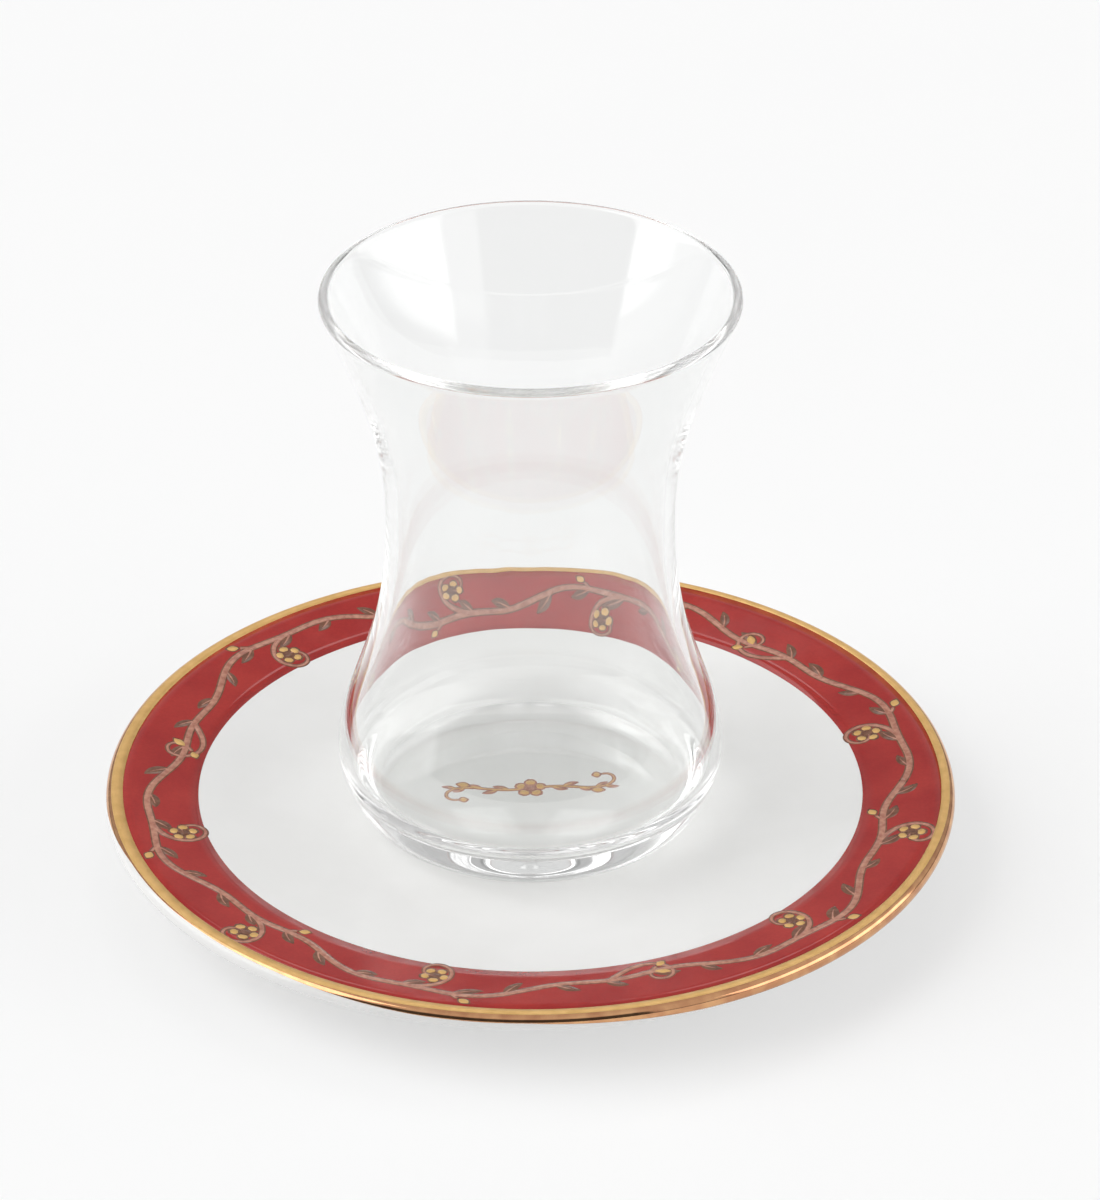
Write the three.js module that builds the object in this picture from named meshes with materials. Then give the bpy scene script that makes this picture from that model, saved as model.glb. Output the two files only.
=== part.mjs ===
// A waisted tea glass standing in the well of its low porcelain saucer.
// Units are millimetres and +Z is up. The origin is the middle of the saucer's foot ring, on the table.
import * as THREE from "three";

// Saucer: the rim's rounded lip and the printed band beside it
const SAUCER_RADIUS = 66.2;
const LIP_RADIUS = 1.45;
const LIP_HEIGHT = 10.6;
const BAND_INNER_RADIUS = 51.8;
const BAND_SLOPE = THREE.MathUtils.degToRad(7.5);

// Saucer: the shallow well and the underside
const WELL_HEIGHT = 8.25;
const WELL_FLAT_RADIUS = 27;
const UNDERSIDE_SLOPE = THREE.MathUtils.degToRad(10);
const UNDERSIDE_HEIGHT = 4.6;

// Saucer: the foot ring
const FOOT_OUTER_RADIUS = 39.4;
const FOOT_INNER_RADIUS = 35.9;
const FOOT_ROUNDING = 0.9;
const FOOT_FLARE = 2.4;

// Glass: heights are above its own base
const GLASS_HEIGHT = 88;
const GLASS_GAP = 0.25;
const RIM_RADIUS = 31.54;
const RIM_ROUNDING = 0.8;
const RIM_FLARE = THREE.MathUtils.degToRad(22);
const WAIST_RADIUS = 21.95;
const WAIST_HEIGHT = 49.9;
const BELLY_RADIUS = 29.84;
const BELLY_HEIGHT = 10.4;
const HEEL_RADIUS = 24.5;
const REST_RING_WIDTH = 3;
const BASE_RECESS = 0.8;
const RECESS_RUN = 11;
const RECESS_EASE = 5;

// Glass: the inside, whose narrowest and widest levels are close to the outside's
const THROAT_RADIUS = 20.2;
const THROAT_HEIGHT = 49;
const BOWL_RADIUS = 27.79;
const BOWL_HEIGHT = 10.55;
const FLOOR_THICKNESS = 3.5;

// Glass: how far each curve of the outside runs along its end's direction before it bends away
const HEEL_RUN = 2.6;
const BELLY_RUN_DOWN = 3;
const BELLY_RUN_UP = 9.9;
const WAIST_RUN_DOWN = 22.9;
const WAIST_RUN_UP = 15.3;
const RIM_RUN = 14;

// Glass: the same for the inside
const MOUTH_RUN = 18;
const THROAT_RUN_UP = 14.2;
const THROAT_RUN_DOWN = 22.4;
const BOWL_RUN_UP = 8.4;
const BOWL_RUN_DOWN = 7.5;
const FLOOR_RUN = 16.4;

// Round segments, and steps along curves and arcs
const GLASS_SEGMENTS = 72;
const SAUCER_SEGMENTS = 96;
const LONG_CURVE_STEPS = 8;
const SHORT_CURVE_STEPS = 5;
const LIP_STEPS = 8;
const SOLE_STEPS = 3;
const CORNER_STEPS = 2;

const point = (radius, height) => new THREE.Vector2(radius, height);

const polar = (centre, radius, angle) =>
  point(centre.x + radius * Math.cos(angle), centre.y + radius * Math.sin(angle));

// Joins the curves of an outline into one list of points, without repeating their shared ends.
function outline(stretches) {
  const points = [];
  for (const { curve, steps } of stretches) {
    const stretch = curve.getPoints(steps);
    points.push(...(points.length ? stretch.slice(1) : stretch));
  }
  return points;
}

const line = (from, to) => ({ curve: new THREE.LineCurve(from, to), steps: 1 });

const bend = (from, out, into, to, steps) => ({
  curve: new THREE.CubicBezierCurve(from, out, into, to),
  steps,
});

const arc = (centre, radius, start, end, steps) => ({
  curve: new THREE.ArcCurve(centre.x, centre.y, radius, start, end, end < start),
  steps,
});

// Turns an outline of radius and height round the Z axis.
function turned(name, stretches, segments, material) {
  const geometry = new THREE.LatheGeometry(outline(stretches), segments);
  geometry.rotateX(Math.PI / 2);
  const mesh = new THREE.Mesh(geometry, material);
  mesh.name = name;
  return mesh;
}

// The foot ring from the ceiling inside it, round its rounded sole and up to the saucer's underside.
function footRing(undersideStart) {
  const solidCorner = FOOT_INNER_RADIUS - FOOT_ROUNDING;
  const wallTop = UNDERSIDE_HEIGHT - FOOT_ROUNDING;
  const innerSole = point(FOOT_INNER_RADIUS + FOOT_ROUNDING, FOOT_ROUNDING);
  const outerSole = point(FOOT_OUTER_RADIUS - FOOT_ROUNDING, FOOT_ROUNDING);
  return [
    line(point(0, UNDERSIDE_HEIGHT), point(solidCorner, UNDERSIDE_HEIGHT)),
    arc(point(solidCorner, wallTop), FOOT_ROUNDING, Math.PI / 2, 0, CORNER_STEPS),
    line(point(FOOT_INNER_RADIUS, wallTop), point(FOOT_INNER_RADIUS, FOOT_ROUNDING)),
    arc(innerSole, FOOT_ROUNDING, -Math.PI, -Math.PI / 2, SOLE_STEPS),
    line(point(innerSole.x, 0), point(outerSole.x, 0)),
    arc(outerSole, FOOT_ROUNDING, -Math.PI / 2, 0, SOLE_STEPS),
    bend(
      point(FOOT_OUTER_RADIUS, FOOT_ROUNDING),
      point(FOOT_OUTER_RADIUS, UNDERSIDE_HEIGHT - FOOT_ROUNDING),
      point(undersideStart.x - FOOT_ROUNDING, undersideStart.y - FOOT_ROUNDING / 2),
      undersideStart,
      SHORT_CURVE_STEPS,
    ),
  ];
}

function saucer(material) {
  const lip = point(SAUCER_RADIUS - LIP_RADIUS, LIP_HEIGHT);
  const underAngle = UNDERSIDE_SLOPE - Math.PI / 2;
  const overAngle = BAND_SLOPE + Math.PI / 2;
  const lipUnder = polar(lip, LIP_RADIUS, underAngle);
  const lipOver = polar(lip, LIP_RADIUS, overAngle);
  const undersideRadius = FOOT_OUTER_RADIUS + FOOT_FLARE;
  const undersideStart = point(
    undersideRadius,
    lipUnder.y - (lipUnder.x - undersideRadius) * Math.tan(UNDERSIDE_SLOPE),
  );
  const bandInner = point(
    BAND_INNER_RADIUS,
    lipOver.y - (lipOver.x - BAND_INNER_RADIUS) * Math.tan(BAND_SLOPE),
  );
  const wellRun = (BAND_INNER_RADIUS - WELL_FLAT_RADIUS) / 3;
  return turned(
    "saucer",
    [
      ...footRing(undersideStart),
      line(undersideStart, lipUnder),
      arc(lip, LIP_RADIUS, underAngle, overAngle, LIP_STEPS),
      line(lipOver, bandInner),
      bend(
        bandInner,
        point(bandInner.x - wellRun, bandInner.y - wellRun * Math.tan(BAND_SLOPE)),
        point(WELL_FLAT_RADIUS + wellRun, WELL_HEIGHT),
        point(WELL_FLAT_RADIUS, WELL_HEIGHT),
        SHORT_CURVE_STEPS,
      ),
      line(point(WELL_FLAT_RADIUS, WELL_HEIGHT), point(0, WELL_HEIGHT)),
    ],
    SAUCER_SEGMENTS,
    material,
  );
}

// The glass's underside: a flat ring that it rests on, round a shallow dome.
function glassBase() {
  const ringInner = HEEL_RADIUS - REST_RING_WIDTH;
  return [
    bend(
      point(0, BASE_RECESS),
      point(RECESS_RUN, BASE_RECESS),
      point(ringInner - RECESS_EASE, 0),
      point(ringInner, 0),
      SHORT_CURVE_STEPS,
    ),
    line(point(ringInner, 0), point(HEEL_RADIUS, 0)),
  ];
}

// The point straight down the flare from where a wall meets the rim's rounding.
const downFlare = (join, run) =>
  point(join.x - run * Math.sin(RIM_FLARE), join.y - run * Math.cos(RIM_FLARE));

// The outer wall: heel to belly, belly to waist, and waist to the flared rim.
function glassOuterWall(rim) {
  const rimJoin = polar(rim, RIM_ROUNDING, -RIM_FLARE);
  const belly = point(BELLY_RADIUS, BELLY_HEIGHT);
  const waist = point(WAIST_RADIUS, WAIST_HEIGHT);
  return [
    bend(
      point(HEEL_RADIUS, 0),
      point(HEEL_RADIUS + HEEL_RUN, 0),
      point(BELLY_RADIUS, BELLY_HEIGHT - BELLY_RUN_DOWN),
      belly,
      SHORT_CURVE_STEPS,
    ),
    bend(
      belly,
      point(BELLY_RADIUS, BELLY_HEIGHT + BELLY_RUN_UP),
      point(WAIST_RADIUS, WAIST_HEIGHT - WAIST_RUN_DOWN),
      waist,
      LONG_CURVE_STEPS,
    ),
    bend(
      waist,
      point(WAIST_RADIUS, WAIST_HEIGHT + WAIST_RUN_UP),
      downFlare(rimJoin, RIM_RUN),
      rimJoin,
      LONG_CURVE_STEPS,
    ),
  ];
}

// The inner wall, from the rim down through the throat and the bowl to the middle of the floor.
function glassInnerWall(rim) {
  const rimJoin = polar(rim, RIM_ROUNDING, Math.PI - RIM_FLARE);
  const throat = point(THROAT_RADIUS, THROAT_HEIGHT);
  const bowl = point(BOWL_RADIUS, BOWL_HEIGHT);
  return [
    bend(
      rimJoin,
      downFlare(rimJoin, MOUTH_RUN),
      point(THROAT_RADIUS, THROAT_HEIGHT + THROAT_RUN_UP),
      throat,
      LONG_CURVE_STEPS,
    ),
    bend(
      throat,
      point(THROAT_RADIUS, THROAT_HEIGHT - THROAT_RUN_DOWN),
      point(BOWL_RADIUS, BOWL_HEIGHT + BOWL_RUN_UP),
      bowl,
      LONG_CURVE_STEPS,
    ),
    bend(
      bowl,
      point(BOWL_RADIUS, BOWL_HEIGHT - BOWL_RUN_DOWN),
      point(FLOOR_RUN, FLOOR_THICKNESS),
      point(0, FLOOR_THICKNESS),
      LONG_CURVE_STEPS,
    ),
  ];
}

function glass(material) {
  const rim = point(RIM_RADIUS - RIM_ROUNDING, GLASS_HEIGHT - RIM_ROUNDING);
  const mesh = turned(
    "glass",
    [
      ...glassBase(),
      ...glassOuterWall(rim),
      arc(rim, RIM_ROUNDING, -RIM_FLARE, Math.PI - RIM_FLARE, SHORT_CURVE_STEPS),
      ...glassInnerWall(rim),
    ],
    GLASS_SEGMENTS,
    material,
  );
  mesh.position.z = WELL_HEIGHT + GLASS_GAP;
  return mesh;
}

const porcelain = new THREE.MeshStandardMaterial({ color: 0xf1f0ee, roughness: 0.12, metalness: 0 });
const clearGlass = new THREE.MeshStandardMaterial({
  color: 0xf4f6f5,
  roughness: 0.02,
  metalness: 0,
  transparent: true,
  opacity: 0.35,
});

const teaGlass = new THREE.Group();
teaGlass.add(saucer(porcelain), glass(clearGlass));

export default teaGlass;
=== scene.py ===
"""A waisted tea glass on its red-banded, gilded porcelain saucer, on a pale studio sweep.

Lengths are metres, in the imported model's frame: +Z is up, and the saucer's foot stands on z = 0.
"""

import math
import random

import bpy
import numpy as np
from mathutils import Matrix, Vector, noise


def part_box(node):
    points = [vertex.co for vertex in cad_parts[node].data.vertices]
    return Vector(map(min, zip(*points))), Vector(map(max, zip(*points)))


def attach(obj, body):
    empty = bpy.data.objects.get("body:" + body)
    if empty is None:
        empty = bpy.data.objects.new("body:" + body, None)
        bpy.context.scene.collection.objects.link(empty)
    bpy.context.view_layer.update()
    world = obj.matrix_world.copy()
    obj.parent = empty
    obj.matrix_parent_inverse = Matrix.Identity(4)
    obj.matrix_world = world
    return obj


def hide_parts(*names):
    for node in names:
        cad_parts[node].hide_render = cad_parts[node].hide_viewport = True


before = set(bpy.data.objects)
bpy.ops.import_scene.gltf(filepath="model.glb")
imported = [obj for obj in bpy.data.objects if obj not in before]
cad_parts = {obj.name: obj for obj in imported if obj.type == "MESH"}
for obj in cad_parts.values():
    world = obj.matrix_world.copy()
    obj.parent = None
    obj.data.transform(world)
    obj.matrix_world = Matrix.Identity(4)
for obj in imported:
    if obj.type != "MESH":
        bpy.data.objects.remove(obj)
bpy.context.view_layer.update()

MM = 0.001

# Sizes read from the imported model
SAUCER_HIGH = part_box("saucer")[1]
GLASS_LOW, GLASS_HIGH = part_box("glass")
SAUCER_RADIUS = SAUCER_HIGH.x
GLASS_BASE = GLASS_LOW.z
GLASS_HEIGHT = GLASS_HIGH.z - GLASS_LOW.z

# Saucer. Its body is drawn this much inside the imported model, so that its prints reach that surface
PRINT_DEPTH = 0.05 * MM
FULL_LIP_RADIUS = 1.45 * MM
LIP_RADIUS = FULL_LIP_RADIUS - PRINT_DEPTH
LIP_HEIGHT = SAUCER_HIGH.z - FULL_LIP_RADIUS
BAND_INNER_RADIUS = 51.8 * MM
BAND_OUTER_RADIUS = 64.0 * MM
BAND_SLOPE = math.radians(7.5)
WELL_HEIGHT = 8.25 * MM
WELL_FLAT_RADIUS = 27 * MM
UNDERSIDE_SLOPE = math.radians(10)
UNDERSIDE_HEIGHT = 4.6 * MM
FOOT_OUTER_RADIUS = 39.4 * MM
FOOT_INNER_RADIUS = 35.9 * MM
FOOT_ROUNDING = 0.9 * MM
FOOT_FLARE = 2.4 * MM

# Glass, with heights above its own base
RIM_RADIUS = GLASS_HIGH.x
RIM_ROUNDING = 0.8 * MM
RIM_FLARE = math.radians(22)
WAIST_RADIUS = 21.95 * MM
WAIST_HEIGHT = 49.9 * MM
BELLY_RADIUS = 29.84 * MM
BELLY_HEIGHT = 10.4 * MM
HEEL_RADIUS = 24.5 * MM
REST_RING_WIDTH = 3 * MM
BASE_RECESS = 0.8 * MM
RECESS_RUN = 11 * MM
RECESS_EASE = 5 * MM
THROAT_RADIUS = 20.2 * MM
THROAT_HEIGHT = 49 * MM
BOWL_RADIUS = 27.79 * MM
BOWL_HEIGHT = 10.55 * MM
FLOOR_THICKNESS = 3.5 * MM
HEEL_RUN = 2.6 * MM
BELLY_RUN_DOWN = 3 * MM
BELLY_RUN_UP = 9.9 * MM
WAIST_RUN_DOWN = 22.9 * MM
WAIST_RUN_UP = 15.3 * MM
RIM_RUN = 14 * MM
MOUTH_RUN = 18 * MM
THROAT_RUN_UP = 14.2 * MM
THROAT_RUN_DOWN = 22.4 * MM
BOWL_RUN_UP = 8.4 * MM
BOWL_RUN_DOWN = 7.5 * MM
FLOOR_RUN = 16.4 * MM

# How far the glass's inside wanders in and out. Its slow waves are noise, with this height for each of the
# noise's cells, read round a circle of this many cells' radius
UNEVENNESS = 0.012 * MM
WANDER_RISE = 9 * MM
WANDER_AROUND = 2.6

# A share of finer waves, with this many cells for one of the slow waves' height and round a wider circle,
# and how far below the rim both have faded in
FINE_SHARE = 0.3
FINE_RISE = 2.4
FINE_AROUND = 8
WANDER_FADE = 12 * MM

# Steps round the axis and along curves
SEGMENTS = 256
CURVE_STEPS = 40
ARC_STEPS = 12
LIP_STEPS = 24
BAND_STEPS = 6

# Where extra rings keep the shading of a flat stretch even
WELL_STOPS = (0.3, 0.6, 1)
REST_RING_STOPS = (0.03, 0.5, 0.97, 1)

# A point nearer to the axis than this lies on it
ON_AXIS = 1e-7

# How far each print stands above the saucer's body, and how far its edges go into it
RED_LIFT = 0.02 * MM
BROWN_LIFT = 0.032 * MM
ROSE_LIFT = 0.044 * MM
LIP_LIFT = 0.04 * MM
GOLD_LIFT = 0.05 * MM
EMBED = 0.02 * MM

# How far the red print reaches under the gold line, how far off centre the line is, and how far up the lip
# it ends
RED_OVERLAP = 0.1 * MM
LINE_OFFSET = 0.5 * MM
LINE_END = math.radians(66)

# The lip's brushed gilding starts this far up the lip and ends, with a wobble, where the table says:
# (degrees round from behind the glass, degrees above the lip's equator)
GILDING_START = math.radians(76)
GILDING_END = (
    (-180, 13), (-165, 14), (-155, 30), (-145, 50), (-130, 58), (-112, 56), (-98, 20),
    (-60, 5), (0, 0), (60, 0), (100, -20), (140, -42), (158, -25), (180, 13),
)
WOBBLE_DEGREES = 2.5
WOBBLE_AROUND = 5

# Scrollwork, in mm: U runs round the band at its middle radius and V runs outwards from it. Turns are in
# radians and bends in radians per mm, both positive to the left
BAND_MIDDLE = 57.9
REPEATS = 6
PERIOD = 2 * math.pi * BAND_MIDDLE / REPEATS
CURL_STEP = 0.35
CURL_GROWTH = 1.4
LEAST_WIDTH = 0.04

# The widths of leaves, flowers' eyes and petals follow an arch: the part of it that counts, and the power
# that makes it fuller
LEAF_BLUNT = 0.02
LEAF_POWER = 0.75
EYE_BLUNT = 0.08
EYE_POWER = 0.5
PETAL_START = 0.12
PETAL_SPAN = 0.8
PETAL_POWER = 0.6

# The running stem: its swing, a ripple on it, and where in a repeat tendrils leave its crest and trough
STEM_SWING = 2.5
STEM_RIPPLE = 0.7
RIPPLE_COUNT = 3
RIPPLE_PHASE = 0.6
STEM_STEPS = 60
STEM_WIDTH = 1.05
HEADING_STEP = 0.1
CREST = 0.2
TROUGH = 0.7
BAND_SEED = 4

# Tendrils, as their turn off the stem, first bend, last bend and length
TENDRIL_WIDTH = 0.9
CREST_TENDRIL = (-0.1, -0.1, -0.7, 19)
FLOWER_TENDRIL = (0.1, 0.1, 0.7, 19)
BUD_TENDRIL = (-0.7, 0.02, 0.75, 20)

# Leaves along the stem, and the stalks with buds between them
LEAVES = 8
LEAF_TURNS = (0.7, 1.0)
LEAF_BEND = 0.12
LEAF_LENGTHS = (3.8, 4.8)
LEAF_WIDTHS = (1.7, 2.2)
LEAVES_PER_STALK = 4
STALK_AT = 2
STALK_TURN = 0.8
STALK_BEND = 0.15
STALK_LENGTH = 1.8
STALK_WIDTH = 0.45
STALK_BUD_TURN = 0.5
SMALL_BUD = 2.6

# The sprig in the middle of the well: where its stems start and how they lean. A stem, its curling tip and
# its stalk are a first bend, last bend and length, and leaves are a share along the path and a side
SPRIG_ROOT = (1.6, 0.3)
SPRIG_LEAN = 0.25
SPRIG_WIDTH = 0.35
SPRIG_STEM = (-0.1, 0.02, 7.5)
SPRIG_TIP_TURN = -0.3
SPRIG_TIP = (0.08, 0.95, 8.5)
SPRIG_TIP_BUD = 1.9
SPRIG_TIP_BUD_TURN = 3.0
SPRIG_LEAF_TURN = 0.6
SPRIG_LEAF_BEND = 0.15
SPRIG_STEM_LEAVES = ((0.25, -1), (0.5, 1), (0.8, -1))
SPRIG_STEM_LEAF_LEAN = -0.2
SPRIG_STEM_LEAF = (2.9, 1.3)
SPRIG_TIP_LEAVES = ((0.15, 1), (0.35, -1))
SPRIG_TIP_LEAF = (2.5, 1.1)
SPRIG_STALK_TURN = -0.9
SPRIG_STALK = (0.2, 0.2, 1.4)
SPRIG_STALK_WIDTH = 0.25
SPRIG_FLOWER = 2.6

# The two shades that each surface drifts between
PORCELAIN_SHADES = ((0.8, 0.797, 0.785), (0.825, 0.822, 0.812))
RED_SHADES = ((0.33, 0.014, 0.012), (0.39, 0.024, 0.018))
GOLD_PRINT_SHADES = ((0.66, 0.39, 0.125), (0.75, 0.46, 0.165))
GILDING_SHADES = ((0.56, 0.27, 0.14), (0.72, 0.4, 0.2))
ROSE_SHADES = ((0.36, 0.135, 0.09), (0.52, 0.25, 0.17))
BROWN_SHADES = ((0.13, 0.045, 0.022), (0.2, 0.08, 0.042))
GLASS_SHADES = ((0.965, 0.971, 0.967), (0.973, 0.977, 0.974))
PAPER_SHADES = ((0.62, 0.62, 0.62), (0.624, 0.624, 0.623))

# The sweep: half its width, and how brightly it is lit from below
SWEEP_REACH = 4.0
SWEEP_GLOW = 0.32

# Camera
PHOTO_WIDTH = 1100
PHOTO_HEIGHT = 1200
AXIS_COLUMN = 530.5
FOCAL_PIXELS = 5328.5
CAMERA_DISTANCE = 815.65 * MM
CAMERA_PITCH = math.radians(30.217)
AIM_HEIGHT = 43.7 * MM
SENSOR = 36.0
NEAR_CLIP = 0.01

# Where the zones of the studio's light fade: their sides by the cosine of the angle off their bearing, and
# their tops and feet by the sine of the height
BACK_SIDES = (0.3, 0.9)
BACK_TOP = (0.75, 0.95)
FRONT_BEARING = math.radians(-164.5)
FRONT_SIDES = (0.67, 0.72)
FRONT_TOP = (0.5, 0.64)
CEILING_FOOT = (0.8, 0.95)
HORIZON_TOP = (0.1, 0.16)

# Least values that keep the light's divisions finite straight up and side-on to a panel, and the least that
# a direction must point along a panel's axis to see it
LEAST_LEVEL = 1e-4
LEAST_DEPTH = 0.001
LEAST_FACING = 0.01

# Light is led round inside the rim over many bounces
LIGHT_BOUNCES = 128


def line(start, end, stops=(1,)):
    """Points along a straight stretch, at its start and at each stop from 0 to 1."""
    return [start] + [
        (start[0] + (end[0] - start[0]) * t, start[1] + (end[1] - start[1]) * t) for t in stops
    ]


def bend(start, out, into, end):
    """Points along a cubic Bezier."""
    points = []
    for i in range(CURVE_STEPS + 1):
        t = i / CURVE_STEPS
        s = 1 - t
        weights = (s ** 3, 3 * s * s * t, 3 * s * t * t, t ** 3)
        points.append(tuple(
            sum(w * p[axis] for w, p in zip(weights, (start, out, into, end))) for axis in (0, 1)
        ))
    return points


def polar(centre, radius, angle):
    return (centre[0] + radius * math.cos(angle), centre[1] + radius * math.sin(angle))


def arc(centre, radius, start, end, steps=ARC_STEPS):
    return [polar(centre, radius, start + (end - start) * i / steps) for i in range(steps + 1)]


def joined(*stretches):
    """One outline from several, without repeating their shared ends."""
    points = list(stretches[0])
    for stretch in stretches[1:]:
        points.extend(stretch[1:])
    return points


def make_mesh(name, vertices, faces, material):
    mesh = bpy.data.meshes.new(name)
    mesh.from_pydata(vertices, [], faces)
    mesh.validate()
    mesh.polygons.foreach_set("use_smooth", [True] * len(mesh.polygons))
    mesh.materials.append(material)
    mesh.update()
    piece = bpy.data.objects.new(name, mesh)
    bpy.context.scene.collection.objects.link(piece)
    return piece


def turned(name, outline, material, close=False, waves=None):
    """Turns an outline of (radius, height) round Z. Points on the axis become one vertex each.

    waves gives, for each point of the outline, how far the ring there wanders in and out.
    """
    vertices, rings, faces = [], [], []
    for row, (radius, height) in enumerate(outline):
        if radius < ON_AXIS:
            rings.append([len(vertices)] * SEGMENTS)
            vertices.append((0.0, 0.0, height))
            continue
        rings.append(list(range(len(vertices), len(vertices) + SEGMENTS)))
        wave = waves[row] if waves else 0.0
        for k in range(SEGMENTS):
            angle = 2 * math.pi * k / SEGMENTS
            r = radius + wave * wander(angle, height) if wave else radius
            vertices.append((r * math.cos(angle), r * math.sin(angle), height))
    pairs = list(zip(rings, rings[1:]))
    if close:
        pairs.append((rings[-1], rings[0]))
    for low, high in pairs:
        for k in range(SEGMENTS):
            n = (k + 1) % SEGMENTS
            corners = (low[k], low[n], high[n], high[k])
            faces.append(tuple(dict.fromkeys(corners)))
    return make_mesh(name, vertices, faces, material)


def wander(angle, height):
    """The slow unevenness of a moulded wall, from about -1 to 1."""
    x, y = math.cos(angle), math.sin(angle)
    up = height / WANDER_RISE
    coarse = noise.noise(Vector((WANDER_AROUND * x, WANDER_AROUND * y, up)))
    fine = noise.noise(Vector((FINE_AROUND * x, FINE_AROUND * y, FINE_RISE * up)))
    return coarse + FINE_SHARE * fine


# The saucer's lip, and where its rounding meets the underside and the band
LIP = (SAUCER_RADIUS - FULL_LIP_RADIUS, LIP_HEIGHT)
LIP_UNDER_ANGLE = UNDERSIDE_SLOPE - math.pi / 2
LIP_OVER_ANGLE = BAND_SLOPE + math.pi / 2
LIP_UNDER = polar(LIP, LIP_RADIUS, LIP_UNDER_ANGLE)
LIP_OVER = polar(LIP, LIP_RADIUS, LIP_OVER_ANGLE)


def on_band(radius):
    """Height of the band's straight slope at a radius."""
    return LIP_OVER[1] - (LIP_OVER[0] - radius) * math.tan(BAND_SLOPE)


def well_curve():
    run = (BAND_INNER_RADIUS - WELL_FLAT_RADIUS) / 3
    height = on_band(BAND_INNER_RADIUS)
    return bend(
        (BAND_INNER_RADIUS, height),
        (BAND_INNER_RADIUS - run, height - run * math.tan(BAND_SLOPE)),
        (WELL_FLAT_RADIUS + run, WELL_HEIGHT),
        (WELL_FLAT_RADIUS, WELL_HEIGHT),
    )


WELL_RADII, WELL_HEIGHTS = zip(*reversed(well_curve()))


def on_saucer(radius):
    """Height of the saucer's upper side at a radius."""
    if radius >= BAND_INNER_RADIUS:
        return on_band(radius)
    return float(np.interp(radius, WELL_RADII, WELL_HEIGHTS))


def foot_curve(underside_start):
    """The foot ring, from the ceiling inside it round its sole and up to the saucer's underside."""
    corner = FOOT_INNER_RADIUS - FOOT_ROUNDING
    wall_top = UNDERSIDE_HEIGHT - FOOT_ROUNDING
    inner = (FOOT_INNER_RADIUS + FOOT_ROUNDING, FOOT_ROUNDING)
    outer = (FOOT_OUTER_RADIUS - FOOT_ROUNDING, FOOT_ROUNDING)
    return joined(
        line((0, UNDERSIDE_HEIGHT), (corner, UNDERSIDE_HEIGHT)),
        arc((corner, wall_top), FOOT_ROUNDING, math.pi / 2, 0),
        line((FOOT_INNER_RADIUS, wall_top), (FOOT_INNER_RADIUS, FOOT_ROUNDING)),
        arc(inner, FOOT_ROUNDING, -math.pi, -math.pi / 2),
        line((inner[0], 0), (outer[0], 0)),
        arc(outer, FOOT_ROUNDING, -math.pi / 2, 0),
        bend(
            (FOOT_OUTER_RADIUS, FOOT_ROUNDING),
            (FOOT_OUTER_RADIUS, UNDERSIDE_HEIGHT - FOOT_ROUNDING),
            (underside_start[0] - FOOT_ROUNDING, underside_start[1] - FOOT_ROUNDING / 2),
            underside_start,
        ),
    )


def saucer_outline():
    """The saucer, from the middle of its underside round the lip to the middle of its well."""
    start_radius = FOOT_OUTER_RADIUS + FOOT_FLARE
    start_height = LIP_UNDER[1] - (LIP_UNDER[0] - start_radius) * math.tan(UNDERSIDE_SLOPE)
    underside_start = (start_radius, start_height)
    return joined(
        foot_curve(underside_start),
        line(underside_start, LIP_UNDER),
        arc(LIP, LIP_RADIUS, LIP_UNDER_ANGLE, LIP_OVER_ANGLE, LIP_STEPS),
        line(LIP_OVER, (BAND_INNER_RADIUS, on_band(BAND_INNER_RADIUS))),
        well_curve(),
        line((WELL_FLAT_RADIUS, WELL_HEIGHT), (0, WELL_HEIGHT), WELL_STOPS),
    )


def down_flare(join, run):
    """The point straight down the flare from where a wall meets the rim's rounding."""
    return (join[0] - run * math.sin(RIM_FLARE), join[1] - run * math.cos(RIM_FLARE))


def glass_base():
    """The glass's underside: a flat ring that it rests on, round a shallow dome."""
    ring = HEEL_RADIUS - REST_RING_WIDTH
    return joined(
        bend((0, BASE_RECESS), (RECESS_RUN, BASE_RECESS), (ring - RECESS_EASE, 0), (ring, 0)),
        line((ring, 0), (HEEL_RADIUS, 0), REST_RING_STOPS),
    )


def glass_outside(rim_join):
    """The outer wall: heel to belly, belly to waist, and waist to the flared rim."""
    return joined(
        bend(
            (HEEL_RADIUS, 0),
            (HEEL_RADIUS + HEEL_RUN, 0),
            (BELLY_RADIUS, BELLY_HEIGHT - BELLY_RUN_DOWN),
            (BELLY_RADIUS, BELLY_HEIGHT),
        ),
        bend(
            (BELLY_RADIUS, BELLY_HEIGHT),
            (BELLY_RADIUS, BELLY_HEIGHT + BELLY_RUN_UP),
            (WAIST_RADIUS, WAIST_HEIGHT - WAIST_RUN_DOWN),
            (WAIST_RADIUS, WAIST_HEIGHT),
        ),
        bend(
            (WAIST_RADIUS, WAIST_HEIGHT),
            (WAIST_RADIUS, WAIST_HEIGHT + WAIST_RUN_UP),
            down_flare(rim_join, RIM_RUN),
            rim_join,
        ),
    )


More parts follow.
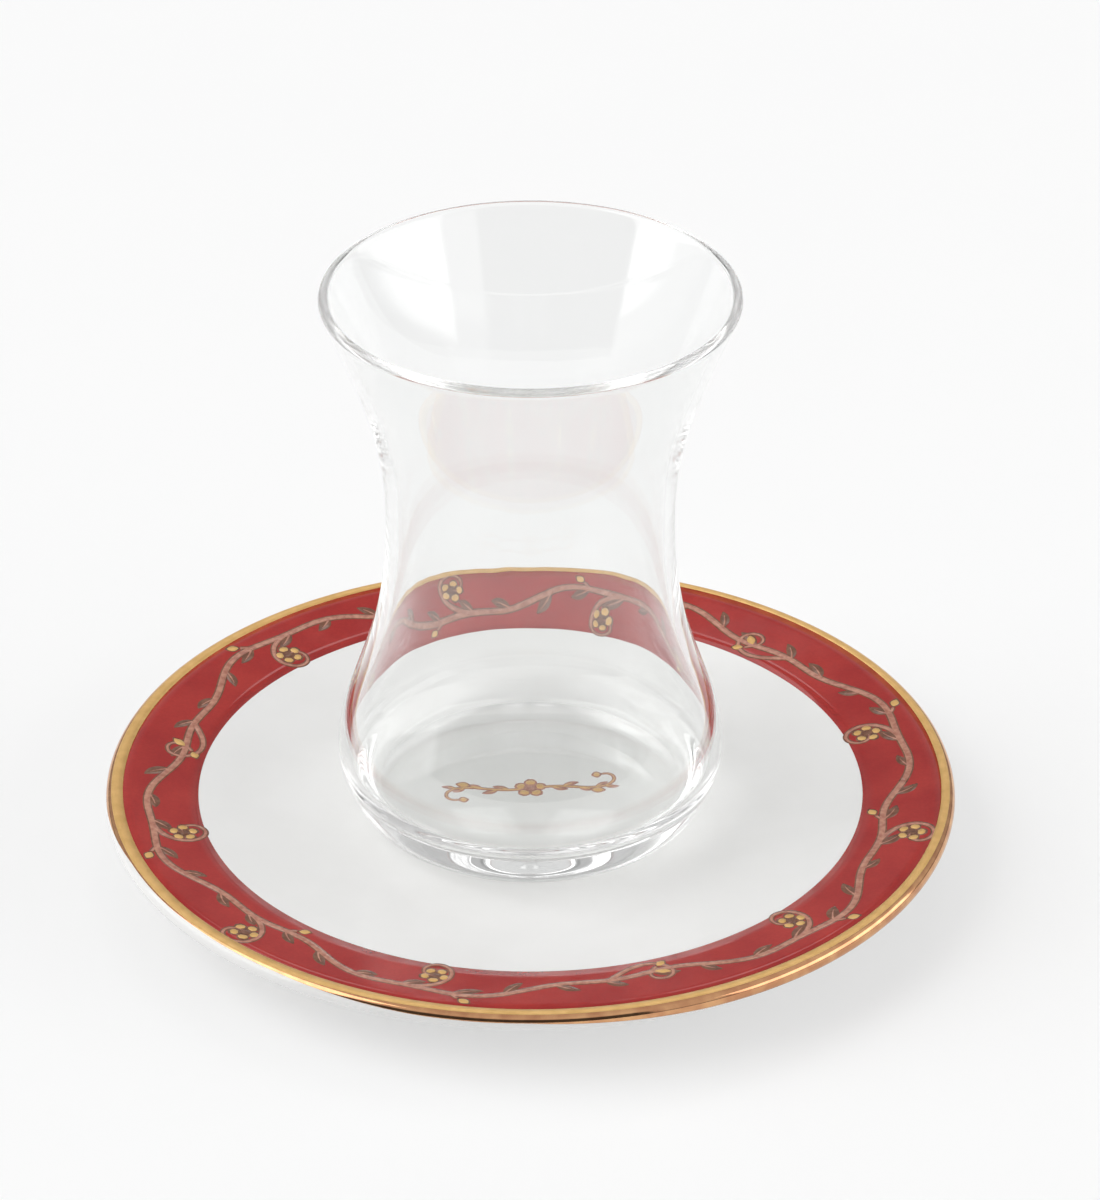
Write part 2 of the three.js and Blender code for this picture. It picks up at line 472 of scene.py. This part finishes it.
def glass_inside(rim_join):
    """The inner wall, from the rim down through the throat and the bowl to the middle of the floor."""
    return joined(
        bend(
            rim_join,
            down_flare(rim_join, MOUTH_RUN),
            (THROAT_RADIUS, THROAT_HEIGHT + THROAT_RUN_UP),
            (THROAT_RADIUS, THROAT_HEIGHT),
        ),
        bend(
            (THROAT_RADIUS, THROAT_HEIGHT),
            (THROAT_RADIUS, THROAT_HEIGHT - THROAT_RUN_DOWN),
            (BOWL_RADIUS, BOWL_HEIGHT + BOWL_RUN_UP),
            (BOWL_RADIUS, BOWL_HEIGHT),
        ),
        bend(
            (BOWL_RADIUS, BOWL_HEIGHT),
            (BOWL_RADIUS, BOWL_HEIGHT - BOWL_RUN_DOWN),
            (FLOOR_RUN, FLOOR_THICKNESS),
            (0, FLOOR_THICKNESS),
        ),
    )


def glass_outline():
    """The glass, from the middle of its recessed underside round the rim to the middle of its floor.

    Also says how uneven each point's ring is: only the inside is, and not at the rim.
    """
    rim = (RIM_RADIUS - RIM_ROUNDING, GLASS_HEIGHT - RIM_ROUNDING)
    outside = joined(
        glass_base(),
        glass_outside(polar(rim, RIM_ROUNDING, -RIM_FLARE)),
        arc(rim, RIM_ROUNDING, -RIM_FLARE, math.pi - RIM_FLARE),
    )
    inside = glass_inside(polar(rim, RIM_ROUNDING, math.pi - RIM_FLARE))[1:]
    waves = [0.0] * len(outside)
    for radius, height in inside:
        below_rim = min(1.0, (GLASS_HEIGHT - height) / WANDER_FADE)
        waves.append(UNEVENNESS * below_rim * min(1.0, radius / THROAT_RADIUS))
    return [(radius, GLASS_BASE + height) for radius, height in outside + inside], waves


class Material:
    """A procedural material built round one Principled shader, in the object's own coordinates."""

    # The middle of a noise's range, where most of its values lie
    NOISE_LOW = 0.35
    NOISE_HIGH = 0.65

    def __init__(self, name, metallic=0.0, ior=1.5):
        self.data = bpy.data.materials.new(name)
        self.data.use_nodes = True
        self.nodes = self.data.node_tree.nodes
        self.links = self.data.node_tree.links
        self.shader = self.nodes["Principled BSDF"]
        self.shader.inputs["Metallic"].default_value = metallic
        self.shader.inputs["IOR"].default_value = ior
        self.place = self.nodes.new("ShaderNodeTexCoord").outputs["Object"]

    def noise(self, size, detail=3):
        """Noise whose features are about size metres across."""
        texture = self.nodes.new("ShaderNodeTexNoise")
        texture.inputs["Scale"].default_value = 1 / size
        texture.inputs["Detail"].default_value = detail
        self.links.new(self.place, texture.inputs["Vector"])
        return texture.outputs["Fac"]

    def spread(self, value, low, high):
        """Maps the middle of a noise's range to low and high."""
        node = self.nodes.new("ShaderNodeMapRange")
        self.links.new(value, node.inputs["Value"])
        node.inputs["From Min"].default_value = self.NOISE_LOW
        node.inputs["From Max"].default_value = self.NOISE_HIGH
        node.inputs["To Min"].default_value = low
        node.inputs["To Max"].default_value = high
        return node.outputs["Result"]

    def drift(self, shades, value):
        """A colour that drifts between two shades with a noise."""
        node = self.nodes.new("ShaderNodeMix")
        node.data_type = "RGBA"
        self.links.new(self.spread(value, 0, 1), node.inputs["Factor"])
        colours = [socket for socket in node.inputs if socket.type == "RGBA"]
        for socket, shade in zip(colours, shades):
            socket.default_value = (*shade, 1)
        return [socket for socket in node.outputs if socket.type == "RGBA"][0]

    def scaled(self, colour, factor):
        node = self.nodes.new("ShaderNodeVectorMath")
        node.operation = "SCALE"
        self.links.new(colour, node.inputs[0])
        self.links.new(factor, node.inputs["Scale"])
        return node.outputs["Vector"]

    def colour(self, value):
        self.links.new(value, self.shader.inputs["Base Color"])

    def roughness(self, low, high, value):
        self.links.new(self.spread(value, low, high), self.shader.inputs["Roughness"])

    def relief(self, depth, value):
        node = self.nodes.new("ShaderNodeBump")
        node.inputs["Distance"].default_value = depth
        self.links.new(value, node.inputs["Height"])
        self.links.new(node.outputs["Normal"], self.shader.inputs["Normal"])


def porcelain_material():
    """White glazed porcelain: faint clouding, small glaze waves and a slightly uneven gloss."""
    material = Material("porcelain")
    material.colour(material.drift(PORCELAIN_SHADES, material.noise(14 * MM)))
    material.roughness(0.05, 0.12, material.noise(6 * MM))
    material.relief(0.006 * MM, material.noise(4 * MM, detail=2))
    return material.data


def red_material():
    """Screen-printed red under glaze: fine mottling and slow change in depth of colour."""
    material = Material("red_glaze", ior=1.44)
    slow = material.drift(RED_SHADES, material.noise(9 * MM))
    fine = material.spread(material.noise(0.5 * MM, detail=2), 0.94, 1.04)
    material.colour(material.scaled(slow, fine))
    material.roughness(0.05, 0.13, material.noise(5 * MM))
    material.relief(0.005 * MM, material.noise(3 * MM, detail=2))
    return material.data


def gold_line_material():
    """Matt printed gold: part paint and part metal, with the ink's uneven density."""
    material = Material("gold_print", metallic=0.3)
    material.colour(material.drift(GOLD_PRINT_SHADES, material.noise(2 * MM)))
    material.roughness(0.3, 0.42, material.noise(1.2 * MM))
    material.relief(0.006 * MM, material.noise(1.5 * MM, detail=2))
    return material.data


def gilding_material():
    """Brushed-on gold, fired to a mirror, reddish where it is thin."""
    material = Material("gilding", metallic=1.0)
    material.colour(material.drift(GILDING_SHADES, material.noise(3 * MM)))
    material.roughness(0.05, 0.13, material.noise(1.2 * MM))
    material.relief(0.006 * MM, material.noise(1.5 * MM, detail=2))
    return material.data


def print_material(name, shades):
    """A printed enamel line, with the ink's uneven density."""
    material = Material(name)
    material.colour(material.drift(shades, material.noise(0.9 * MM, detail=4)))
    material.roughness(0.1, 0.2, material.noise(4 * MM))
    material.relief(0.004 * MM, material.noise(0.6 * MM, detail=2))
    return material.data


def glass_material():
    """Clear pressed glass with faint waves in its surface and the least trace of grey-green."""
    material = Material("clear_glass")
    material.shader.inputs["Transmission Weight"].default_value = 1.0
    material.shader.inputs["Roughness"].default_value = 0.0
    material.colour(material.drift(GLASS_SHADES, material.noise(20 * MM)))
    material.relief(0.004 * MM, material.noise(9 * MM, detail=1))
    return material.data


def paper_material():
    """Matt sweep paper, softly lit from below as a light table is."""
    material = Material("sweep_paper")
    material.shader.inputs["Roughness"].default_value = 1.0
    material.shader.inputs["Specular IOR Level"].default_value = 0
    material.colour(material.drift(PAPER_SHADES, material.noise(60 * MM)))
    material.shader.inputs["Emission Color"].default_value = (1, 1, 1, 1)
    material.shader.inputs["Emission Strength"].default_value = SWEEP_GLOW
    return material.data


def red_band(material):
    """The red print, a thin ring that lies on the band."""
    width = BAND_OUTER_RADIUS + RED_OVERLAP - BAND_INNER_RADIUS
    radii = [BAND_INNER_RADIUS + width * i / BAND_STEPS for i in range(BAND_STEPS + 1)]
    over = [(r, on_band(r) + RED_LIFT) for r in radii]
    under = [(r, on_band(r) - EMBED) for r in reversed(radii)]
    return turned("red_band", over + under, material, close=True)


def bearing_of(angle):
    """Degrees round from behind the glass, from -180 to 180, for an angle round Z in radians."""
    return (90 - math.degrees(angle) + 180) % 360 - 180


def ring_of_sections(name, section, material):
    """A closed ring whose section, a loop of (radius, height), is a function of the angle round Z."""
    vertices, faces = [], []
    for k in range(SEGMENTS):
        angle = 2 * math.pi * k / SEGMENTS
        loop = section(angle)
        vertices += [(r * math.cos(angle), r * math.sin(angle), z) for r, z in loop]
    size = len(loop)
    for k in range(SEGMENTS):
        here, there = k * size, (k + 1) % SEGMENTS * size
        for i in range(size):
            j = (i + 1) % size
            faces.append((here + i, there + i, there + j, here + j))
    return make_mesh(name, vertices, faces, material)


def gold_line(material):
    """The matt gold line at the band's edge, laid off centre so that it is wider on the left."""

    def section(angle):
        off_centre = max(0.0, math.cos(math.radians(bearing_of(angle) + 90)))
        inner = BAND_OUTER_RADIUS - LINE_OFFSET * off_centre
        over = arc(LIP, LIP_RADIUS + GOLD_LIFT, LIP_OVER_ANGLE, LINE_END)
        under = arc(LIP, LIP_RADIUS - EMBED, LINE_END, LIP_OVER_ANGLE)
        return [(inner, on_band(inner) + GOLD_LIFT)] + over + under + [(inner, on_band(inner) - EMBED)]

    return ring_of_sections("gold_line", section, material)


def gilt_lip(material):
    """The gilding round the lip, a brushed film whose lower edge wanders."""
    around, ends = zip(*GILDING_END)

    def section(angle):
        round_the_lip = Vector((WOBBLE_AROUND * math.cos(angle), WOBBLE_AROUND * math.sin(angle), 0))
        wobble = WOBBLE_DEGREES * noise.noise(round_the_lip)
        end = math.radians(float(np.interp(bearing_of(angle), around, ends)) + wobble)
        over = arc(LIP, LIP_RADIUS + LIP_LIFT, GILDING_START, end, LIP_STEPS)
        return over + arc(LIP, LIP_RADIUS - EMBED, end, GILDING_START, LIP_STEPS)

    return ring_of_sections("gilt_lip", section, material)


def on_ring(u, v, lift):
    """Places a point of the scrollwork on the saucer."""
    radius = (BAND_MIDDLE + v) * MM
    angle = u / BAND_MIDDLE
    return (radius * math.cos(angle), radius * math.sin(angle), on_saucer(radius) + lift)


def on_centre(u, v, lift):
    """Places a point of the middle motif on the saucer's flat well."""
    return (u * MM, v * MM, WELL_HEIGHT + lift)


class Print:
    """Strokes of one colour in one mesh. Each is a thin closed ribbon, slightly domed."""

    # The ribbon's section as shares of its half width and lift, where None is an embedded edge
    SECTION = ((-1, None), (-0.9, 0.8), (0, 1), (0.9, 0.8), (1, None))

    def __init__(self, place):
        self.place = place
        self.vertices = []
        self.faces = []

    def stroke(self, path, width, lift):
        """Draws along a path of (u, v) points in mm. width is a function of 0 to 1 along it, in mm."""
        size = len(self.SECTION)
        first = len(self.vertices)
        count = len(path)
        for i, (u, v) in enumerate(path):
            before, after = path[max(i - 1, 0)], path[min(i + 1, count - 1)]
            du, dv = after[0] - before[0], after[1] - before[1]
            length = math.hypot(du, dv) or 1
            half = max(width(i / (count - 1)), LEAST_WIDTH) / 2
            for share, height in self.SECTION:
                across = share * half
                rise = -EMBED if height is None else lift * height
                spot = self.place(u - dv / length * across, v + du / length * across, rise)
                self.vertices.append(spot)
        for i in range(count - 1):
            here, there = first + i * size, first + (i + 1) * size
            for a in range(size):
                b = (a + 1) % size
                self.faces.append((here + a, here + b, there + b, there + a))
        self.faces.append(tuple(first + a for a in reversed(range(size))))
        self.faces.append(tuple(first + (count - 1) * size + a for a in range(size)))

    def build(self, name, material, slot):
        piece = make_mesh(name, self.vertices, self.faces, material)
        return piece


def curl(start, heading, first_bend, last_bend, length):
    """A path that winds up steadily."""
    u, v = start
    path = [(u, v)]
    count = round(length / CURL_STEP)
    for i in range(count):
        bending = first_bend + (last_bend - first_bend) * (i / count) ** CURL_GROWTH
        heading += bending * CURL_STEP
        u += CURL_STEP * math.cos(heading)
        v += CURL_STEP * math.sin(heading)
        path.append((u, v))
    return path


def even(width):
    return lambda t: width


def tapered(width, tip=0.35):
    """Thins out steadily to a share of the width at the tip."""
    return lambda t: width * (1 - (1 - tip) * t)


def rounded(width, blunt, power):
    """Widest in the middle, and blunt over a share of each end. A lower power makes it fuller."""
    return lambda t: width * math.sin(math.pi * min(max(t, blunt), 1 - blunt)) ** power


def leaf_width(width):
    return rounded(width, LEAF_BLUNT, LEAF_POWER)


def petal_width(width):
    return lambda t: width * math.sin(math.pi * (PETAL_START + PETAL_SPAN * t)) ** PETAL_POWER


def stem_height(u):
    """Where the running stem lies across the band."""
    turn = 2 * math.pi * u / PERIOD
    return STEM_SWING * math.sin(turn) + STEM_RIPPLE * math.sin(RIPPLE_COUNT * turn + RIPPLE_PHASE)


def stem_heading(u):
    rise = stem_height(u + HEADING_STEP) - stem_height(u - HEADING_STEP)
    return math.atan2(rise, 2 * HEADING_STEP)


class Scrollwork:
    """A running vine with tendrils, leaves, buds and small flowers, drawn in three colours."""

    # How much wider than a vine the outline under it is
    OUTLINE = 0.5

    # A leaf's vein: its width, and the share of it that is left at the tip
    VEIN_WIDTH = 0.4
    VEIN_TIP = 0.3

    # A bud's outline, and the gold in it
    BUD_LENGTH = 3.2
    BUD_BEND = 0.05
    BUD_WIDTH = 1.9
    BUD_GOLD_WIDTH = 1.45

    # A flower, with the points and widths of its petals and its eye as shares of its radius
    FLOWER_RADIUS = 2.5
    PETALS = 5
    PETAL_REACH = (0.22, 0.4, 0.55, 0.7, 0.85, 1.0)
    PETAL_WIDTH = 0.86
    PETAL_GOLD_WIDTH = 0.66
    EYE_REACH = (-0.3, -0.18, 0, 0.18, 0.3)
    EYE_WIDTH = 0.6

    def __init__(self, place):
        self.brown = Print(place)
        self.rose = Print(place)
        self.gold = Print(place)

    def vine(self, path, width):
        self.brown.stroke(path, lambda t: width(t) + self.OUTLINE, BROWN_LIFT)
        self.rose.stroke(path, width, ROSE_LIFT)

    def leaf(self, start, heading, bending, length, width):
        path = curl(start, heading, bending, bending, length)
        self.brown.stroke(path, leaf_width(width), BROWN_LIFT)
        self.rose.stroke(path[1:-3], tapered(self.VEIN_WIDTH, self.VEIN_TIP), ROSE_LIFT)

    def bud(self, start, heading, length=BUD_LENGTH):
        path = curl(start, heading, self.BUD_BEND, self.BUD_BEND, length)
        self.brown.stroke(path, leaf_width(self.BUD_WIDTH), BROWN_LIFT)
        self.gold.stroke(path[1:-1], leaf_width(self.BUD_GOLD_WIDTH), GOLD_LIFT)

    def flower(self, centre, turn, radius=FLOWER_RADIUS):
        for petal in range(self.PETALS):
            heading = turn + petal * 2 * math.pi / self.PETALS
            path = [polar(centre, share * radius, heading) for share in self.PETAL_REACH]
            self.brown.stroke(path, petal_width(self.PETAL_WIDTH * radius), BROWN_LIFT)
            self.gold.stroke(path[1:-1], petal_width(self.PETAL_GOLD_WIDTH * radius), GOLD_LIFT)
        eye = [(centre[0] + share * radius, centre[1]) for share in self.EYE_REACH]
        self.brown.stroke(eye, rounded(self.EYE_WIDTH * radius, EYE_BLUNT, EYE_POWER), ROSE_LIFT)


def tendril(u, turn, first_bend, last_bend, length):
    """A curling path that leaves the running stem at u."""
    return curl((u, stem_height(u)), stem_heading(u) + turn, first_bend, last_bend, length)


def draw_tendrils(work, k, chance):
    """One repeat's tendrils: to a flower at the crest, and by turns to a bud or flower at the trough."""
    path = tendril(PERIOD * (k + CREST), *CREST_TENDRIL)
    work.vine(path, tapered(TENDRIL_WIDTH))
    work.flower(path[-1], chance.uniform(0, 1))
    has_flower = k % 2
    path = tendril(PERIOD * (k + TROUGH), *(FLOWER_TENDRIL if has_flower else BUD_TENDRIL))
    work.vine(path, tapered(TENDRIL_WIDTH))
    if has_flower:
        work.flower(path[-1], chance.uniform(0, 1))
    else:
        work.bud(path[-1], chance.uniform(0, 6))


def draw_leaves(work, k, chance):
    """One repeat's leaves, on the side of the stem that has more room, and its stalks with buds."""
    for j in range(LEAVES):
        u = PERIOD * (k + (j + 0.5) / LEAVES)
        side = -1 if stem_height(u) > 0 else 1
        start = (u, stem_height(u))
        heading = stem_heading(u) + side * chance.uniform(*LEAF_TURNS)
        length = chance.uniform(*LEAF_LENGTHS)
        width = chance.uniform(*LEAF_WIDTHS)
        work.leaf(start, heading, -LEAF_BEND * side, length, width)
        if j % LEAVES_PER_STALK == STALK_AT:
            bending = STALK_BEND * side
            stalk = curl(start, stem_heading(u) - side * STALK_TURN, bending, bending, STALK_LENGTH)
            work.vine(stalk, even(STALK_WIDTH))
            work.bud(stalk[-1], stem_heading(u) - side * STALK_BUD_TURN, SMALL_BUD)


def draw_band():
    """The vine that runs round the band."""
    work = Scrollwork(on_ring)
    chance = random.Random(BAND_SEED)
    steps = STEM_STEPS * REPEATS
    places = [PERIOD * REPEATS * i / steps for i in range(steps + 1)]
    work.vine([(u, stem_height(u)) for u in places], even(STEM_WIDTH))
    for k in range(REPEATS):
        draw_tendrils(work, k, chance)
        draw_leaves(work, k, chance)
    return work


def draw_sprig_leaves(work, path, places, heading, size):
    for share, side in places:
        start = path[round(share * (len(path) - 1))]
        work.leaf(start, heading + SPRIG_LEAF_TURN * side, -SPRIG_LEAF_BEND * side, *size)


def draw_centre():
    """A small sprig in the middle of the well: a flower with a curling, leafy stem to either side."""
    work = Scrollwork(on_centre)
    for side, heading in ((1, SPRIG_LEAN), (-1, SPRIG_LEAN + math.pi)):
        start = (side * SPRIG_ROOT[0], side * SPRIG_ROOT[1])
        stem = curl(start, heading, *SPRIG_STEM)
        tip = curl(stem[-1], heading + SPRIG_TIP_TURN, *SPRIG_TIP)
        work.vine(stem, even(SPRIG_WIDTH))
        work.vine(tip, tapered(SPRIG_WIDTH))
        work.bud(tip[-1], heading + SPRIG_TIP_BUD_TURN, SPRIG_TIP_BUD)
        leaning = heading + SPRIG_STEM_LEAF_LEAN
        draw_sprig_leaves(work, stem, SPRIG_STEM_LEAVES, leaning, SPRIG_STEM_LEAF)
        draw_sprig_leaves(work, tip, SPRIG_TIP_LEAVES, heading, SPRIG_TIP_LEAF)
        stalk = curl(stem[-3], heading + SPRIG_STALK_TURN, *SPRIG_STALK)
        work.vine(stalk, even(SPRIG_STALK_WIDTH))
        work.bud(stalk[-1], heading - STALK_BUD_TURN, SMALL_BUD)
    work.flower((0, 0), math.pi / 2, SPRIG_FLOWER)
    return work


def build_saucer(porcelain, red, matt_gold, bright_gold):
    saucer = turned("saucer_body", saucer_outline(), porcelain)
    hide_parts("saucer")
    band = red_band(red)
    edge = gold_line(matt_gold)
    lip = gilt_lip(bright_gold)
    return [saucer, band, edge, lip]


def build_glass():
    outline, waves = glass_outline()
    glass = turned("tea_glass", outline, glass_material(), waves=waves)
    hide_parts("glass")
    return glass


def build_prints(matt_gold):
    rose = print_material("rose_print", ROSE_SHADES)
    brown = print_material("brown_print", BROWN_SHADES)
    band = draw_band()
    sprig = draw_centre()
    return [
        band.brown.build("band_brown", brown, "brown_print"),
        band.rose.build("band_rose", rose, "rose_print"),
        band.gold.build("band_gold", matt_gold, "gilding"),
        sprig.brown.build("sprig_outline", rose, "rose_print"),
        sprig.rose.build("sprig_veins", matt_gold, "gilding"),
        sprig.gold.build("sprig_petals", matt_gold, "gilding"),
    ]


def build_object():
    matt_gold = gold_line_material()
    pieces = build_saucer(porcelain_material(), red_material(), matt_gold, gilding_material())
    pieces.append(build_glass())
    pieces.extend(build_prints(matt_gold))
    for piece in pieces:
        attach(piece, "root")


def build_floor():
    """A plain pale sweep."""
    reach = SWEEP_REACH
    corners = [(-reach, -reach, 0), (reach, -reach, 0), (reach, reach, 0), (-reach, reach, 0)]
    make_mesh("sweep", corners, [(0, 1, 2, 3)], paper_material())


def build_camera():
    data = bpy.data.cameras.new("photo_camera")
    data.sensor_width = SENSOR
    data.lens = FOCAL_PIXELS / PHOTO_HEIGHT * SENSOR
    data.shift_x = (PHOTO_WIDTH / 2 - AXIS_COLUMN) / PHOTO_HEIGHT
    data.clip_start = NEAR_CLIP
    camera = bpy.data.objects.new("photo_camera", data)
    camera.location = (
        0,
        -CAMERA_DISTANCE * math.cos(CAMERA_PITCH),
        AIM_HEIGHT + CAMERA_DISTANCE * math.sin(CAMERA_PITCH),
    )
    camera.rotation_euler = (math.pi / 2 - CAMERA_PITCH, 0, 0)
    bpy.context.scene.collection.objects.link(camera)
    bpy.context.scene.camera = camera


class Light:
    """The studio's light as one field by direction, so that it falls evenly over the sweep."""

    def __init__(self):
        world = bpy.data.worlds.new("studio")
        world.use_nodes = True
        bpy.context.scene.world = world
        self.nodes = world.node_tree.nodes
        self.links = world.node_tree.links
        self.direction = self.nodes.new("ShaderNodeTexCoord").outputs["Generated"]
        self.background = self.nodes["Background"]
        self.background.inputs["Color"].default_value = (1, 1, 1, 1)

    def math(self, operation, a, b=None):
        node = self.nodes.new("ShaderNodeMath")
        node.operation = operation
        for socket, value in zip(node.inputs, (a, b)):
            if value is None:
                continue
            if isinstance(value, (int, float)):
                socket.default_value = value
            else:
                self.links.new(value, socket)
        return node.outputs[0]

    def along(self, axis):
        """How far the direction points along an axis."""
        node = self.nodes.new("ShaderNodeVectorMath")
        node.operation = "DOT_PRODUCT"
        self.links.new(self.direction, node.inputs[0])
        node.inputs[1].default_value = axis
        return node.outputs["Value"]

    def rising(self, value, low, high, start=0, end=1):
        """Goes softly from 0 to 1 as the value goes from low to high."""
        node = self.nodes.new("ShaderNodeMapRange")
        node.interpolation_type = "SMOOTHSTEP"
        self.links.new(value, node.inputs["Value"])
        node.inputs["From Min"].default_value = low
        node.inputs["From Max"].default_value = high
        node.inputs["To Min"].default_value = start
        node.inputs["To Max"].default_value = end
        return node.outputs["Result"]

    def falling(self, value, low, high):
        """Goes softly from 1 to 0 as the value goes from low to high."""
        return self.rising(value, low, high, start=1, end=0)

    def panel(self, azimuth, elevation, half_width, half_height, edge, strength):
        """A soft-edged rectangle of light. Azimuth 0 is behind the object and 90 is on its right."""
        a, e = math.radians(azimuth), math.radians(elevation)
        forward = Vector((math.sin(a) * math.cos(e), math.cos(a) * math.cos(e), math.sin(e)))
        right = Vector((math.cos(a), -math.sin(a), 0))
        up = right.cross(forward)
        depth = self.math("MAXIMUM", self.along(forward), LEAST_DEPTH)
        across = self.math("ABSOLUTE", self.math("DIVIDE", self.along(right), depth))
        upward = self.math("ABSOLUTE", self.math("DIVIDE", self.along(up), depth))
        inside_x = self.falling(across, half_width - edge, half_width + edge)
        inside_y = self.falling(upward, half_height - edge, half_height + edge)
        facing = self.math("GREATER_THAN", self.along(forward), LEAST_FACING)
        mask = self.math("MULTIPLY", self.math("MULTIPLY", inside_x, inside_y), facing)
        return self.math("MULTIPLY", mask, strength)

    def between(self, first, second, mask):
        """first where the mask is 0 and second where it is 1."""
        change = self.math("MULTIPLY", self.math("SUBTRACT", second, first), mask)
        return self.math("ADD", first, change)

    def room(self, walls, behind, ceiling, front, horizon):
        """The studio round the sweep, dimmer behind and low down, and dark on the camera's side."""
        height = self.along((0, 0, 1))
        level = self.math("SUBTRACT", 1, self.math("MULTIPLY", height, height))
        level = self.math("SQRT", self.math("MAXIMUM", level, LEAST_LEVEL))
        backward = self.math("DIVIDE", self.along((0, 1, 0)), level)
        front_axis = (math.sin(FRONT_BEARING), math.cos(FRONT_BEARING), 0)
        frontward = self.math("DIVIDE", self.along(front_axis), level)
        back_sides = self.rising(backward, *BACK_SIDES)
        at_back = self.math("MULTIPLY", back_sides, self.falling(height, *BACK_TOP))
        front_sides = self.rising(frontward, *FRONT_SIDES)
        at_front = self.math("MULTIPLY", front_sides, self.falling(height, *FRONT_TOP))
        lit = self.between(walls, behind, at_back)
        lit = self.between(lit, ceiling, self.rising(height, *CEILING_FOOT))
        lit = self.between(lit, horizon, self.falling(height, *HORIZON_TOP))
        return self.between(lit, front, at_front)

    def finish(self, parts):
        """Lights the world with the sum of its parts."""
        total = parts[0]
        for part in parts[1:]:
            total = self.math("ADD", total, part)
        self.links.new(total, self.background.inputs["Strength"])


def build_light():
    """The room, a large softbox on the left over a low strip, one on the right and two at the back."""
    light = Light()
    light.finish([
        light.room(walls=0.79, behind=0.47, ceiling=0.7, front=0.08, horizon=0.32),
        light.panel(-92.5, 36, half_width=0.5, half_height=0.54, edge=0.03, strength=1.8),
        light.panel(-90, 3, half_width=0.55, half_height=0.1, edge=0.01, strength=0.8),
        light.panel(98, 17, half_width=0.55, half_height=0.24, edge=0.04, strength=1.8),
        light.panel(14, 50, half_width=0.1, half_height=0.13, edge=0.02, strength=2.0),
        light.panel(-12, 49, half_width=0.09, half_height=0.13, edge=0.02, strength=2.0),
    ])


scene = bpy.context.scene
scene.view_settings.view_transform = "Standard"
scene.cycles.use_denoising = True
scene.cycles.max_bounces = LIGHT_BOUNCES
scene.cycles.transmission_bounces = LIGHT_BOUNCES
scene.cycles.glossy_bounces = LIGHT_BOUNCES
scene.cycles.blur_glossy = 0.0
build_camera()
build_light()
build_floor()
build_object()
